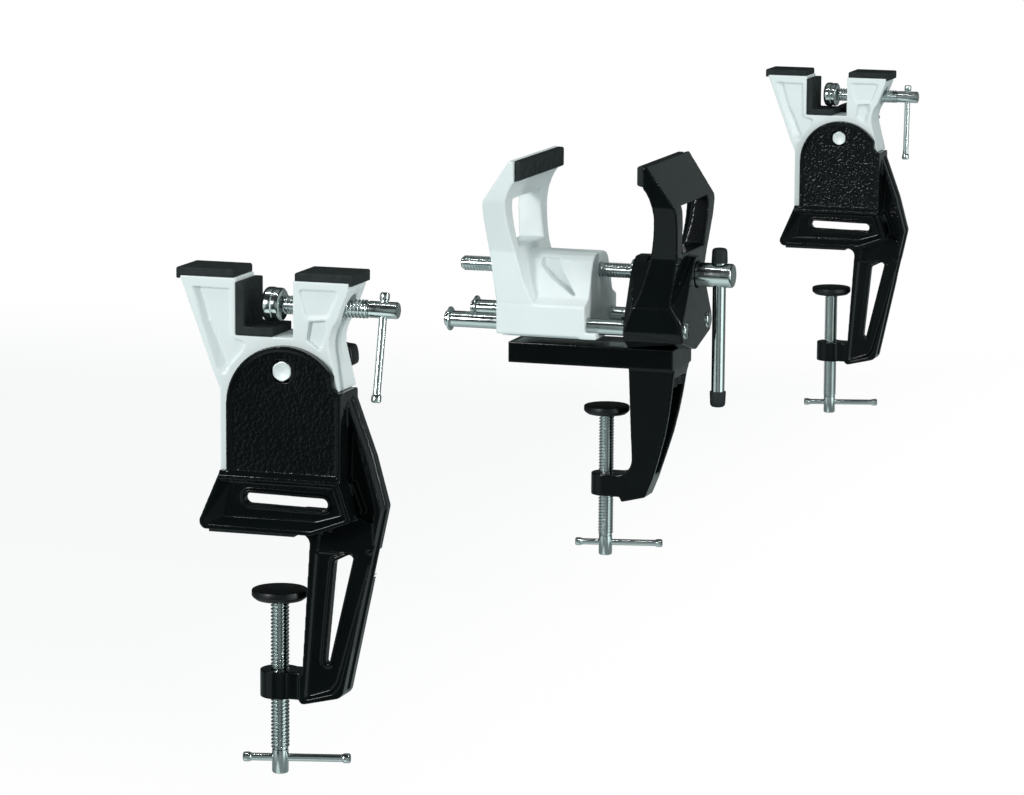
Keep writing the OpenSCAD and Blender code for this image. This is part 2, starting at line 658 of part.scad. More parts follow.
module upright(y_rubber, s) {
  difference() {
    intersection() {
      along_x(jaw_w + 4) upright_side(y_rubber, s);
      along_y(-120, 120) upright_face();
    }
    // window under the slanted top
    along_y(-120, 120) polygon([[-31.8, jaw_top - 27], [-27.3, jaw_top - 59.5], [27.3, jaw_top - 59.5], [31.8, jaw_top - 27]]);
  }
}

// both halves of an outline that is given on its right
function mirrored(half) = concat(half, [for (i = [len(half) - 1:-1:0]) [-half[i][0], half[i][1]]]);

// block of the front jaw: its pointed outer face, its inner face and the sides between
module jaw_block() {
  hull() {
    along_y(front_face, front_face + nudge) polygon(concat([[0, base_t - 2]], mirrored([
      [34, rod_z - 7.6], [36.8, rod_z - 2.6], [36.8, rod_z + 3], [35.4, rod_z + 5.5], [12.6, main_z + 3],
      [9.6, main_z + 9], [4.5, main_z + 12]])));
    along_y(front_inner - nudge, front_inner) polygon(mirrored([
      [base_w / 2, base_t], [32, rod_z - 8], [34.4, rod_z - 3], [34.4, rod_z + 2], [17.8, main_z - 1],
      [16.3, main_z + 4], [12, main_z + 8.2], [6, main_z + 11.4]]));
    translate([-37.2, front_face + 2.1, rod_z - 1.5]) cube([74.4, 37.2, 1.8]);
    translate([-37.2, front_face + 7.5, rod_z + 14.5]) cube([74.4, 26.5, 0.1]);
  }
}

module front_jaw() {
  color(paint_black) difference() {
    union() {
      difference() {
        jaw_block();
        translate([-40, beam_front - 0.2, -1]) cube([80, 60, base_t + 1]);
      }
      upright(front_rubber_y, 1);
    }
    body_bores(front_face - 1, front_inner + 1, 0);
    // bearing of the main screw, with the recess of its hub
    translate([0, 0, main_z]) rod_y_dir(screw_r + fit_gap, front_face - 1, front_inner + 1);
    translate([0, 0, main_z]) rod_y_dir(hub_d / 2 + 0.9, front_face - 1, hub_seat);
    for (s = [-1, 1]) translate([s * jaw_bolt[0], jaw_bolt[1], 0]) cylinder(r = 3, h = base_t + 12);
  }
}

module rear_jaw() {
  color(paint_white) difference() {
    union() {
      along_y(rear_inner, rear_outer) body_section(rear_low);
      upright(rear_rubber_y, -1);
      // foot with its front lip
      translate([-rod_x - 9.5, rear_inner - 8, rod_z - 8]) cube([2 * rod_x + 19, 12, 4.4]);
    }
    body_bores(rear_inner - 9, 90, fit_gap);
    translate([0, 0, main_z]) rod_y_dir(screw_r + fit_gap, rear_inner - 1, 90);
    // tapered pockets in the sloping sides
    for (s = [-1, 1]) {
      translate([s * 39, 0, 0]) along_x(26) polygon([[13.5, 46.5], [15.5, 47.5], [29.5, 58], [21, 58], [16.5, 51]]);
      translate([s * 33, 0, 0]) along_x(34) polygon([[19.5, 58], [31, 58], [36, 70.5], [21, 69]]);
    }
  }
}

// rubber pad on the inner face of a jaw
module jaw_rubber(y_rubber, s) {
  color(rubber_black) along_x(jaw_w - 8) polygon([
    [y_rubber, jaw_top - 1.2], [y_rubber - s * 1, jaw_top - 0.2], [y_rubber - s * jaw_rubber_t, jaw_top - 0.2],
    [y_rubber - s * jaw_rubber_t, jaw_top - 14], [y_rubber - s * 1.2, jaw_top - 13.2], [y_rubber, jaw_top - 12.4]]);
}

module jaw_bolts() {
  color(zinc) for (s = [-1, 1]) translate([s * jaw_bolt[0], jaw_bolt[1], 0]) {
    difference() {
      translate([0, 0, -12.8]) cylinder(d = 10, h = 5.7);
      translate([0, 0, -13]) cylinder(d = 5 / cos(30), h = 3.4, $fn = 6);
    }
    translate([0, 0, -7.4]) cylinder(r = 3, h = base_t + 17);
  }
}

module guide_rods() {
  color(zinc) for (s = [-1, 1]) translate([s * rod_x, 0, rod_z]) {
    rod_y_dir(rod_d / 2, front_face - 0.8, rod_end);
    translate([0, front_face - 0.8, 0]) rotate([90, 0, 0]) cylinder(d1 = rod_d, d2 = rod_d - 1.6, h = 0.6);
  }
}

module rod_rings() {
  color(zinc) for (s = [-1, 1]) translate([s * rod_x, 0, rod_z]) difference() {
    rod_y_dir(rod_d / 2 + 2.6, rod_end - 4, rod_end - 2.4);
    rod_y_dir(rod_d / 2, rod_end - 5, rod_end);
  }
}

module main_screw() {
  color(zinc) translate([0, 0, main_z]) difference() {
    union() {
      rod_y_dir(screw_r, hub_seat - 3, rod_end - 2);
      rod_y_dir(hub_d / 2, hub_end + 1, hub_seat - 1.8);
      translate([0, hub_end + 1, 0]) rotate([90, 0, 0]) cylinder(d1 = hub_d, d2 = hub_d - 2, h = 1);
    }
    translate([0, screw_bar_y, -12]) cylinder(r = main_bar_d / 2 + fit_gap, h = 24);
  }
}

module thrust_washer() {
  color(zinc) translate([0, 0, main_z]) difference() {
    rod_y_dir(hub_d / 2 + 0.6, hub_seat - 1.6, hub_seat);
    rod_y_dir(screw_r + 0.2, hub_seat - 3, hub_seat + 1);
  }
}

module screw_collar() {
  color(zinc) translate([0, 0, main_z]) difference() {
    rod_y_dir(8, front_inner + 0.1, front_inner + 3.2);
    rod_y_dir(screw_r, front_inner - 1, front_inner + 8);
  }
}

module main_bar() {
  bottom = bar_above - main_bar_len;
  color(zinc) translate([0, screw_bar_y, main_z + bottom + 2])
    cylinder(d = main_bar_d, h = main_bar_len - 4);
}

module bar_caps() {
  lip = hub_d / 2 + 0.3;
  color(rubber_black) translate([0, screw_bar_y, main_z]) {
    difference() {
      translate([0, 0, lip]) cylinder(d1 = main_bar_d + 2, d2 = main_bar_d + 0.8, h = bar_above - lip);
      translate([0, 0, lip - 1]) cylinder(d = main_bar_d, h = bar_above - lip - 1);
    }
    difference() {
      translate([0, 0, bar_above - main_bar_len]) cylinder(d1 = main_bar_d + 0.8, d2 = main_bar_d + 2, h = cap_len);
      translate([0, 0, bar_above - main_bar_len + 2]) cylinder(d = main_bar_d, h = cap_len);
    }
  }
}

// Near end support
module near() { translate([near_x, 0, 0]) children(); }
near() frame_casting();  // near_frame
near() bench_pad();  // near_bench_pad
near() head_casting();  // near_head
near() jaw_liner();  // near_jaw_liner
near() rest_block(slot_right, head_right);  // near_rest_block_front
near() rest_block(slot_left, head_left);  // near_rest_block_rear
near() head_bolt();  // near_head_bolt
near() knob_washer();  // near_knob_washer
near() star_knob(0);  // near_star_knob
near() jaw_pad();  // near_jaw_pad
near() jaw_screw(near_bar_lean);  // near_jaw_screw
near() jaw_bar(near_bar_lean);  // near_jaw_bar
near() clamp_pad(end_grip);  // near_clamp_pad
near() clamp_screw(end_grip, near_clamp_turn);  // near_clamp_screw
near() clamp_bar(end_grip, near_clamp_turn);  // near_clamp_bar

// Far end support
module far() { translate([far_x, 0, 0]) children(); }
far() frame_casting();  // far_frame
far() bench_pad();  // far_bench_pad
far() head_casting();  // far_head
far() jaw_liner();  // far_jaw_liner
far() rest_block(slot_right, head_right);  // far_rest_block_front
far() rest_block(slot_left, head_left);  // far_rest_block_rear
far() head_bolt();  // far_head_bolt
far() knob_washer();  // far_knob_washer
far() star_knob(36);  // far_star_knob
far() jaw_pad();  // far_jaw_pad
far() jaw_screw(far_bar_lean);  // far_jaw_screw
far() jaw_bar(far_bar_lean);  // far_jaw_bar
far() clamp_pad(end_grip);  // far_clamp_pad
far() clamp_screw(end_grip, far_clamp_turn);  // far_clamp_screw
far() clamp_bar(end_grip, far_clamp_turn);  // far_clamp_bar

// Centre vise
centre_base();
front_jaw();  // centre_front_jaw
jaw_rubber(front_rubber_y, 1);  // centre_front_rubber
jaw_bolts();  // centre_jaw_bolts
guide_rods();  // centre_guide_rods
rod_rings();  // centre_rod_rings
rear_jaw();  // centre_rear_jaw
jaw_rubber(rear_rubber_y, -1);  // centre_rear_rubber
main_screw();  // centre_main_screw
thrust_washer();  // centre_thrust_washer
screw_collar();  // centre_screw_collar
main_bar();  // centre_main_bar
bar_caps();  // centre_bar_caps
clamp_pad(centre_grip);  // centre_clamp_pad
clamp_screw(centre_grip, centre_clamp_turn);  // centre_clamp_screw
clamp_bar(centre_grip, centre_clamp_turn);  // centre_clamp_bar
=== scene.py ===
# Ski tuning vise set: two end supports and a centre vise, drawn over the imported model.
# Places are in the model's own frame: +X along the row from the near end support to the far
# one, +Y away from the clamp arms, +Z up. Sizes are written in mm and multiplied by mm.
import json
import math
import bmesh
import bpy
from mathutils import Matrix, Vector


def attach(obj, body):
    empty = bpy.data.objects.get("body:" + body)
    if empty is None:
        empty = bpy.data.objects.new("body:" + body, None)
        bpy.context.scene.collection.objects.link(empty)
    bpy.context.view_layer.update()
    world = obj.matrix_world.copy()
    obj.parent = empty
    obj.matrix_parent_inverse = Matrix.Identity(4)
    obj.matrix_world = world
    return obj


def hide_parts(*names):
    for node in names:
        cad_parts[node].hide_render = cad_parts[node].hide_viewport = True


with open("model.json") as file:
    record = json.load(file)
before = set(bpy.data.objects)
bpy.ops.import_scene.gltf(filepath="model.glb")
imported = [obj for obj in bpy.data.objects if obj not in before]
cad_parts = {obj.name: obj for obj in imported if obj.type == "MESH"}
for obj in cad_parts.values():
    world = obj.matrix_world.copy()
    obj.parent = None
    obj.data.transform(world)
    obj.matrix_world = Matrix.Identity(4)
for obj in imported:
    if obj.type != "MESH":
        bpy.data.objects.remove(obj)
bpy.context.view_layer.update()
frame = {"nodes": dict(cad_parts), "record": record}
mm = 0.001

# the photograph's viewpoint: place and reach in metres, turns in degrees, lens and sensor in mm
camera = {"place": (-2.7729, -0.8306, 0.4607), "yaw": 17.9267, "pitch": -9.5143, "roll": 0.3729,
          "lens": 154.85, "sensor": 36, "reach": 60}


def addCamera(c):
    yaw, pitch, roll = (math.radians(c[turn]) for turn in ("yaw", "pitch", "roll"))
    level = math.cos(pitch)
    ahead = Vector((level * math.cos(yaw), level * math.sin(yaw), math.sin(pitch)))
    right = Vector((math.sin(yaw), -math.cos(yaw), 0))
    up = right.cross(ahead)
    right = right * math.cos(roll) + up * math.sin(roll)
    up = right.cross(ahead)
    data = bpy.data.cameras.new("photoCamera")
    data.sensor_fit = "HORIZONTAL"
    data.sensor_width = c["sensor"]
    data.lens = c["lens"]
    data.clip_end = c["reach"]
    cam = bpy.data.objects.new("photoCamera", data)
    facing = Matrix((right, up, -ahead)).transposed().to_4x4()
    cam.matrix_world = Matrix.Translation(c["place"]) @ facing
    bpy.context.scene.collection.objects.link(cam)
    bpy.context.scene.camera = cam


addCamera(camera)
bpy.context.scene.view_settings.view_transform = "Standard"
print("camera set")


# Materials

def linear(hexColour):
    parts = [int(hexColour[i:i + 2], 16) / 255 for i in (1, 3, 5)]
    return [c / 12.92 if c <= 0.04045 else ((c + 0.055) / 1.055) ** 2.4 for c in parts] + [1]


# settings are a node's own choices, or the values of its sockets by name or number; links feed sockets
def addNode(tree, kind, settings=None, links=None):
    node = tree.nodes.new(kind)
    for key, value in (settings or {}).items():
        if isinstance(key, int) or key in node.inputs:
            node.inputs[key].default_value = value
        else:
            setattr(node, key, value)
    for key, source in (links or {}).items():
        tree.links.new(source, node.inputs[key])
    return node


def newMaterial(name, colour, roughness, metallic=0.0, **sockets):
    mat = bpy.data.materials.new(name)
    mat.use_nodes = True
    tree = mat.node_tree
    shader = tree.nodes["Principled BSDF"]
    shader.inputs["Base Color"].default_value = linear(colour)
    shader.inputs["Roughness"].default_value = roughness
    shader.inputs["Metallic"].default_value = metallic
    for key, value in sockets.items():
        shader.inputs[key.replace("_", " ")].default_value = value
    return mat, tree, shader


def roughSpread(tree, shader, where, scaleMm, low, high):
    noise = addNode(tree, "ShaderNodeTexNoise", {"Scale": 1 / (scaleMm * mm), "Detail": 3.0},
                    {"Vector": where})
    spread = addNode(tree, "ShaderNodeMapRange",
                     {"From Min": 0.35, "From Max": 0.65, "To Min": low, "To Max": high},
                     {"Value": noise.outputs["Fac"]})
    tree.links.new(spread.outputs["Result"], shader.inputs["Roughness"])


def skinBump(tree, shader, where, grainMm, heightMm, strength):
    grain = addNode(tree, "ShaderNodeTexNoise", {"Scale": 1 / (grainMm * mm), "Detail": 2.0},
                    {"Vector": where})
    skin = addNode(tree, "ShaderNodeBump", {"Strength": strength, "Distance": heightMm * mm},
                   {"Height": grain.outputs["Fac"]})
    tree.links.new(skin.outputs["Normal"], shader.inputs["Normal"])


def colourSpread(tree, shader, where, scaleMm, dark, light):
    cloud = addNode(tree, "ShaderNodeTexNoise", {"Scale": 1 / (scaleMm * mm), "Detail": 4.0},
                    {"Vector": where})
    tint = addNode(tree, "ShaderNodeMix", {"data_type": "RGBA", 6: linear(dark), 7: linear(light)},
                   {"Factor": cloud.outputs["Fac"]})
    tree.links.new(tint.outputs[2], shader.inputs["Base Color"])


# the plates' pebbled skin, left by the sand mould and drawn coarse enough to show: size in mm,
# how squarely a face has to look along X to have all of it, and what is left on the other faces
# and below the plates
pebbles = {"size": 1.8, "detail": 1.5, "roughness": 0.45, "square": (0.95, 0.998), "elsewhere": 0.04,
           "below": 0.12, "fade": 3}


# cast aluminium under thick glossy black enamel: near black, with a thin bright line on each
# rounded edge; pebble is the height of the skin in mm, and above is where the plates start
def makeEnamel(name, pebble, above=None):
    p = pebbles
    mat, tree, shader = newMaterial(name, "#080b0c", 0.3, Specular_IOR_Level=0.02, Coat_Weight=1.0,
                                    Coat_IOR=1.25, Coat_Roughness=0.07)
    coordinates = addNode(tree, "ShaderNodeTexCoord")
    where = coordinates.outputs["Object"]
    facing = addNode(tree, "ShaderNodeSeparateXYZ", None, {"Vector": coordinates.outputs["Normal"]})
    flat = addNode(tree, "ShaderNodeMath", {"operation": "ABSOLUTE"}, {0: facing.outputs["X"]})
    share = addNode(tree, "ShaderNodeMapRange",
                    {"From Min": p["square"][0], "From Max": p["square"][1],
                     "To Min": p["elsewhere"], "To Max": 1.0},
                    {"Value": flat.outputs[0]}).outputs["Result"]
    if above is not None:
        height = addNode(tree, "ShaderNodeSeparateXYZ", None, {"Vector": where})
        rise = addNode(tree, "ShaderNodeMapRange",
                       {"From Min": (above - p["fade"]) * mm, "From Max": above * mm,
                        "To Min": p["below"], "To Max": 1.0},
                       {"Value": height.outputs["Z"]})
        share = addNode(tree, "ShaderNodeMath", {"operation": "MULTIPLY"},
                        {0: share, 1: rise.outputs["Result"]}).outputs[0]
    grain = addNode(tree, "ShaderNodeTexNoise",
                    {"Scale": 1 / (p["size"] * mm), "Detail": p["detail"], "Roughness": p["roughness"]},
                    {"Vector": where})
    skin = addNode(tree, "ShaderNodeBump", {"Distance": pebble * mm},
                   {"Height": grain.outputs["Fac"], "Strength": share})
    tree.links.new(skin.outputs["Normal"], shader.inputs["Normal"])
    tree.links.new(skin.outputs["Normal"], shader.inputs["Coat Normal"])
    roughSpread(tree, shader, where, 9, 0.26, 0.36)
    colourSpread(tree, shader, where, 24, "#070a0b", "#0b1011")
    return mat


# every other finish: grain is its size and height in mm and its strength, rough and tint are the
# size in mm of the clouds in the gloss and in the colour, with the two ends of each
def makeFinish(name, colour, roughness, metallic=0.0, *, grain, rough, tint=None, **sockets):
    mat, tree, shader = newMaterial(name, colour, roughness, metallic, **sockets)
    where = addNode(tree, "ShaderNodeTexCoord").outputs["Object"]
    skinBump(tree, shader, where, *grain)
    roughSpread(tree, shader, where, *rough)
    if tint:
        colourSpread(tree, shader, where, *tint)
    return mat


enamelBlack = makeEnamel("enamelBlack", 0.05)
enamelFine = makeEnamel("enamelFine", 0.26, 28)
enamelCoarse = makeEnamel("enamelCoarse", 0.5, 28)

# cast aluminium under pale grey-white enamel: satin, a little uneven, greyer where the spray was thin
enamelWhite = makeFinish("enamelWhite", "#e2e8e7", 0.36, grain=(1.3, 0.16, 0.16),
                         rough=(12, 0.3, 0.44), tint=(30, "#dee5e4", "#e6ecec"))

# zinc-plated turned steel: bright with a cool cast, faintly clouded by the plating
zincSteel = makeFinish("zincSteel", "#c2cac9", 0.16, 1.0, grain=(0.9, 0.05, 0.2),
                       rough=(4, 0.11, 0.2), tint=(6, "#bac4c3", "#cad1d0"))

# the same plating, drawn darker down in the threads as painted shade in the flanks and roots: dark lines
# between the bright crests
zincPaintedShade = makeFinish("zincPaintedShade", "#262c2b", 0.45, 1.0, grain=(0.6, 0.04, 0.3),
                       rough=(3, 0.4, 0.55), tint=(5, "#1b2020", "#343b3a"))

# zinc flake coating baked on the head bolts: pale, dull silver
zincFlake = makeFinish("zincFlake", "#dfe6e5", 0.5, 0.5, grain=(1.1, 0.08, 0.4),
                       rough=(2, 0.42, 0.6), tint=(2.5, "#cfd8d7", "#eef3f2"))

# the socket bolts under the base, zinc in the model but drawn dark with a dull grey sheen: painted shade
# standing for the shadow under the base
boltPaintedShade = makeFinish("boltPaintedShade", "#141819", 0.5, 0.4, grain=(0.8, 0.04, 0.3),
                        rough=(3, 0.45, 0.6))

# moulded rubber: dark and matt, dusty grey on its faces
rubberDark = makeFinish("rubberDark", "#1a2021", 0.62, grain=(0.8, 0.08, 0.3), rough=(5, 0.55, 0.75),
                        tint=(11, "#151a1b", "#21282a"), Specular_IOR_Level=0.3)

# moulded black nylon: the knobs and the clamp pads, a soft sheen over a fine spark-eroded grain
nylonBlack = makeFinish("nylonBlack", "#0a0d0e", 0.42, grain=(0.7, 0.06, 0.25), rough=(6, 0.36, 0.5),
                        Specular_IOR_Level=0.3)

finishes = {"black_paint": enamelBlack, "white_paint": enamelWhite, "zinc": zincSteel,
            "rubber": rubberDark, "black_plastic": nylonBlack}
slotOf = {s["node"]: s["material_slot"] for s in frame["record"]["subparts"]}
bodies = frame["record"]["behaviour"]["bodies"]
bodyOf = {node: body for body, members in bodies.items() for node in members}
for name, node in frame["nodes"].items():
    node.data.materials.clear()
    node.data.materials.append(finishes[slotOf[name]])
print("materials made")


# Tools for the pieces

# a piece stands for one node and moves with that node's body
def addPiece(name, mesh, node, mat=None):
    piece = bpy.data.objects.new(name, mesh)
    bpy.context.scene.collection.objects.link(piece)
    mesh.materials.clear()
    mesh.materials.append(mat or finishes[slotOf[node]])
    # faces marked 1 are thread flanks and roots, which take the darker zinc as painted shade
    if any(face.material_index for face in mesh.polygons):
        mesh.materials.append(zincPaintedShade)
    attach(piece, bodyOf[node])
    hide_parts(node)


def addSkin(node, mesh, mat=None):
    addPiece(node + "_skin", mesh, node, mat)


# closed rings of points joined each to the next, with both ends closed
def stack(bm, rings):
    for low, high in zip(rings, rings[1:]):
        for i in range(len(low)):
            k = (i + 1) % len(low)
            bm.faces.new((low[i], low[k], high[k], high[i]))
    bm.faces.new(rings[0][::-1])
    bm.faces.new(rings[-1])


# an outline in Y and Z, spread along X, to another outline where one is given
def prism(bm, outline, start, end, endOutline=None):
    shapes = ((start, outline), (end, endOutline or outline))
    stack(bm, [[bm.verts.new(Vector((x, y, z)) * mm) for y, z in shape] for x, shape in shapes])


# the solid less each of the cuts
def baked(mesh, name, cuts):
    work = bpy.data.objects.new(name + "Work", mesh)
    bpy.context.scene.collection.objects.link(work)
    cutters = []
    for cut in cuts:
        bm = bmesh.new()
        prism(bm, *cut)
        bmesh.ops.recalc_face_normals(bm, faces=bm.faces)
        block = bpy.data.meshes.new(name + "Cut")
        bm.to_mesh(block)
        bm.free()
        cutter = bpy.data.objects.new(name + "Cutter", block)
        bpy.context.scene.collection.objects.link(cutter)
        cutters.append(cutter)
        boolean = work.modifiers.new("cut", "BOOLEAN")
        boolean.operation = "DIFFERENCE"
        boolean.object = cutter
        boolean.solver = "EXACT"
    result = bpy.data.meshes.new_from_object(work.evaluated_get(bpy.context.evaluated_depsgraph_get()))
    for thing in [work] + cutters:
        bpy.data.objects.remove(thing)
    return result


# voxel in mm, passes of softening and the share of faces kept, for the castings of the end
# supports, for those of the centre vise, and for the small rubber pieces
casting = {"voxel": 0.45, "passes": 7, "keep": 0.16}
bigCasting = {"voxel": 0.6, "passes": 7, "keep": 0.2}
moulding = {"voxel": 0.35, "passes": 4, "keep": 0.2}


# a casting or moulding: the solid, less its cuts and with its extras, becomes one skin with
# soft edges and fillets
def softSkin(node, skinning, extras=None, cuts=None):
    bm = bmesh.new()
    bm.from_mesh(frame["nodes"][node].data)
    bmesh.ops.remove_doubles(bm, verts=bm.verts, dist=1e-6)
    rough = bpy.data.meshes.new(node + "Rough")
    bm.to_mesh(rough)
    if cuts:
        rough = baked(rough, node, cuts)
        bm.clear()
        bm.from_mesh(rough)
    if extras:
        extras(bm)
        bmesh.ops.recalc_face_normals(bm, faces=bm.faces)
        bm.to_mesh(rough)
    bm.free()
    work = bpy.data.objects.new(node + "Work", rough)
    bpy.context.scene.collection.objects.link(work)
    skin = work.modifiers.new("skin", "REMESH")
    skin.mode = "VOXEL"
    skin.use_smooth_shade = True
    skin.voxel_size = skinning["voxel"] * mm
    soften = work.modifiers.new("soften", "SMOOTH")
    soften.factor = 0.5
    soften.iterations = skinning["passes"]
    thin = work.modifiers.new("thin", "DECIMATE")
    thin.ratio = skinning["keep"]
    mesh = bpy.data.meshes.new_from_object(work.evaluated_get(bpy.context.evaluated_depsgraph_get()))
    mesh.name = node + "Skin"
    bpy.data.objects.remove(work)
    mesh.shade_smooth()
    return mesh


# the far end support takes the near one's skins
def moved(mesh, name, x):
    copy = mesh.copy()
    copy.name = name
    copy.transform(Matrix.Translation((x * mm, 0, 0)))
    return copy


# turns a shape drawn along +Z so that it runs along axis, from place
def flatMatrix(axis, place):
    turn = Vector((0, 0, 1)).rotation_difference(Vector(axis))
    return Matrix.Translation(place) @ turn.to_matrix().to_4x4()


# a point at a radius, an angle and a distance along the axis
def around(bm, m, radius, angle, along):
    x, y = radius * mm * math.cos(angle), radius * mm * math.sin(angle)
    return bm.verts.new(m @ Vector((x, y, along * mm)))


# a turned shape: profile is (radius, distance along the axis) in mm
def turned(bm, profile, axis, place, steps=48):
    m = flatMatrix(axis, place)
    rings = []
    for radius, along in profile:
        tip = radius < 1e-6
        rings.append([around(bm, m, 0 if tip else radius, 2 * math.pi * i / steps, along)
                      for i in range(1 if tip else steps)])
    for low, high in zip(rings, rings[1:]):
        for i in range(steps):
            k = (i + 1) % steps
            corners = [low[i % len(low)], low[k % len(low)], high[k % len(high)], high[i % len(high)]]
            corners = list(dict.fromkeys(corners))
            if len(corners) > 2:
                bm.faces.new(corners)


# the section of a washer, ring or collar with broken outer edges
def ringProfile(inner, outer, low, high, edge=0.3):
    return [(inner, low), (outer - edge, low), (outer, low + edge), (outer, high - edge),
            (outer - edge, high), (inner, high), (inner, low)]


# trapezoidal thread over one pitch: the share of the pitch and how far up the flank it is;
# the rows in shaded are the flanks and the root, drawn in the darker zinc as painted shade
thread = {"radius": 5.0, "depth": 0.85, "pitch": 2.0, "steps": 36, "runOut": 0.5, "shaded": range(2, 7),
          "form": [(0.0, 1.0), (0.26, 1.0), (0.34, 0.85), (0.46, 0.15), (0.5, 0.0), (0.76, 0.0),
                   (0.8, 0.15), (0.92, 0.85)]}


def threaded(bm, start, end, axis, place):
    h = thread
    m = flatMatrix(axis, place)
    rows = len(h["form"])
    points = (int((end - start) / h["pitch"]) + 2) * rows
    columns = []
    for i in range(h["steps"]):
        lead = i / h["steps"]
        column = []
        for n in range(points):
            share, lift = h["form"][n % rows]
            along = start + (n // rows - 1 + share + lead) * h["pitch"]
            fade = min(max(min(along - start, end - along) / (h["runOut"] * h["pitch"]), 0), 1)
            radius = h["radius"] - h["depth"] * (1 - lift * fade)
            column.append(around(bm, m, radius, 2 * math.pi * lead, min(max(along, start), end)))
        columns.append(column)
    for i in range(h["steps"]):
        k = (i + 1) % h["steps"]
        shift = rows if k == 0 else 0
        for n in range(shift, points - 1):
            face = bm.faces.new((columns[i][n], columns[k][n - shift], columns[k][n + 1 - shift],
                                 columns[i][n + 1]))
            # flank and root faces get index 1, the darker zinc: painted shade
            face.material_index = 1 if n % rows in h["shaded"] else 0


def finish(bm, name, angle=35):
    mesh = bpy.data.meshes.new(name)
    bmesh.ops.remove_doubles(bm, verts=bm.verts, dist=2e-6)
    bmesh.ops.recalc_face_normals(bm, faces=bm.faces)
    bm.to_mesh(mesh)
    bm.free()
    mesh.shade_smooth()
    mesh.set_sharp_from_angle(angle=math.radians(angle))
    return mesh


# Pieces

alongX, alongY, alongZ = (1, 0, 0), (0, 1, 0), (0, 0, 1)

# each vise's place along the row and the thickness that its clamp grips in mm, and the turn of
# its clamp bar and the lean of its jaw bar in degrees
vises = {"near": {"x": -608.0, "grip": 32, "turn": 15, "lean": 14},
         "far": {"x": 622.0, "grip": 32, "turn": 16, "lean": 4},
         "centre": {"x": 0, "grip": 28.7, "turn": 13}}
nearX = vises["near"]["x"]
nearToFar = vises["far"]["x"] - nearX

# outer side of the clamp arm in Y and Z, from the shelf down to the toe, and the bead along it
armSide = [(-41.6, 74.0), (-53.0, 42.5), (-60.3, 16.0), (-39.0, -84.5)]
armBead = {"start": -0.6, "end": 2.6, "proud": 0.9, "rooted": -1.5}


# the same line, moved away from the arm
def beside(line, away):
    shifted = []
    for i, point in enumerate(line):
        a, b = line[max(i - 1, 0)], line[min(i + 1, len(line) - 1)]
        step = Vector((b[0] - a[0], b[1] - a[1])).normalized()
        shifted.append((point[0] + step[1] * away, point[1] - step[0] * away))
    return shifted


def addBead(bm):
    b = armBead
    out, back = beside(armSide, b["proud"]), beside(armSide, b["rooted"])
    for i in range(len(armSide) - 1):
        prism(bm, [out[i], out[i + 1], back[i + 1], back[i]], nearX + b["start"], nearX + b["end"])


# cuts of the frame: an outline in Y and Z, and where it starts and ends along X from the axis;
# the web's step leaves one field from the wing to the arm
frameCuts = {
    "footHollow": ([(-34, 8.5), (-11.4, 8.5), (-11.4, 26.8), (-34, 26.8)], -12, -1),
    "webStep": ([(-52.6, -9.0), (-24.4, -9.0), (-24.4, -6.4), (-52.6, -6.4)], -8.9, -6.5),
}


def addFrames():
    cuts = [(outline, nearX + start, nearX + end) for outline, start, end in frameCuts.values()]
    skin = softSkin("near_frame", casting, addBead, cuts)
    addSkin("near_frame", skin, enamelFine)
    addSkin("far_frame", moved(skin, "far_frameSkin", nearToFar), enamelCoarse)


# groove down the rear cheek, on both faces: its outer side slopes in, the inner one is steep
groove = {"outer": [(45.0, 131.4), (39.2, 111.4), (30.6, 88.0), (27.5, 85.4), (25.0, 86.8)],
          "inner": [(38.7, 131.4), (33.6, 114.0), (28.3, 103.7), (24.2, 93.0), (23.4, 90.5)],
          "face": 14.3, "floor": 10.6, "slope": 0.62, "steep": 0.8}


def grooveCuts():
    g = groove
    cuts = []
    for side in (-1, 1):
        for n in range(len(g["outer"]) - 1):
            rim = [g["outer"][n], g["outer"][n + 1], g["inner"][n + 1], g["inner"][n]]
            ways = ((rim[0], rim[3], g["slope"]), (rim[1], rim[2], g["slope"]),
                    (rim[1], rim[2], g["steep"]), (rim[0], rim[3], g["steep"]))
            deep = [tuple(Vector(a).lerp(Vector(b), share)) for a, b, share in ways]
            cuts.append((rim, nearX + side * g["face"], nearX + side * g["floor"], deep))
    return cuts


def addHeads():
    skin = softSkin("near_head", casting, cuts=grooveCuts())
    addSkin("near_head", skin)
    addSkin("far_head", moved(skin, "far_headSkin", nearToFar))
    pad = {**moulding, "voxel": 0.4, "passes": 3}
    for part, skinning in (("bench_pad", pad), ("jaw_liner", moulding), ("rest_block_front", moulding),
                           ("rest_block_rear", moulding)):
        skin = softSkin("near_" + part, skinning)
        addSkin("near_" + part, skin)
        addSkin("far_" + part, moved(skin, "far_" + part + "Skin", nearToFar))


knob = {"voxel": 0.6, "passes": 70, "keep": 0.3}  # many passes round its lobes


# the hexagon's width across the flats and its height, its rounded corners and turned chamfer as
# shares of half that width, and the step round its face; the shank, and the washer at the knob
headBolt = {"place": (-8.5, 89.2), "head": -19.0, "top": 3.9, "flats": 10.0, "corner": 1.055,
            "chamferFrom": 0.985, "chamferSlope": 0.55, "face": (0.93, 0.86), "step": 0.12, "steps": 72,
            "under": 3.8, "shank": 3.0, "end": 30.0, "washer": 8.0, "washerBore": 3.3,
            "washerAt": (14.1, 15.7)}


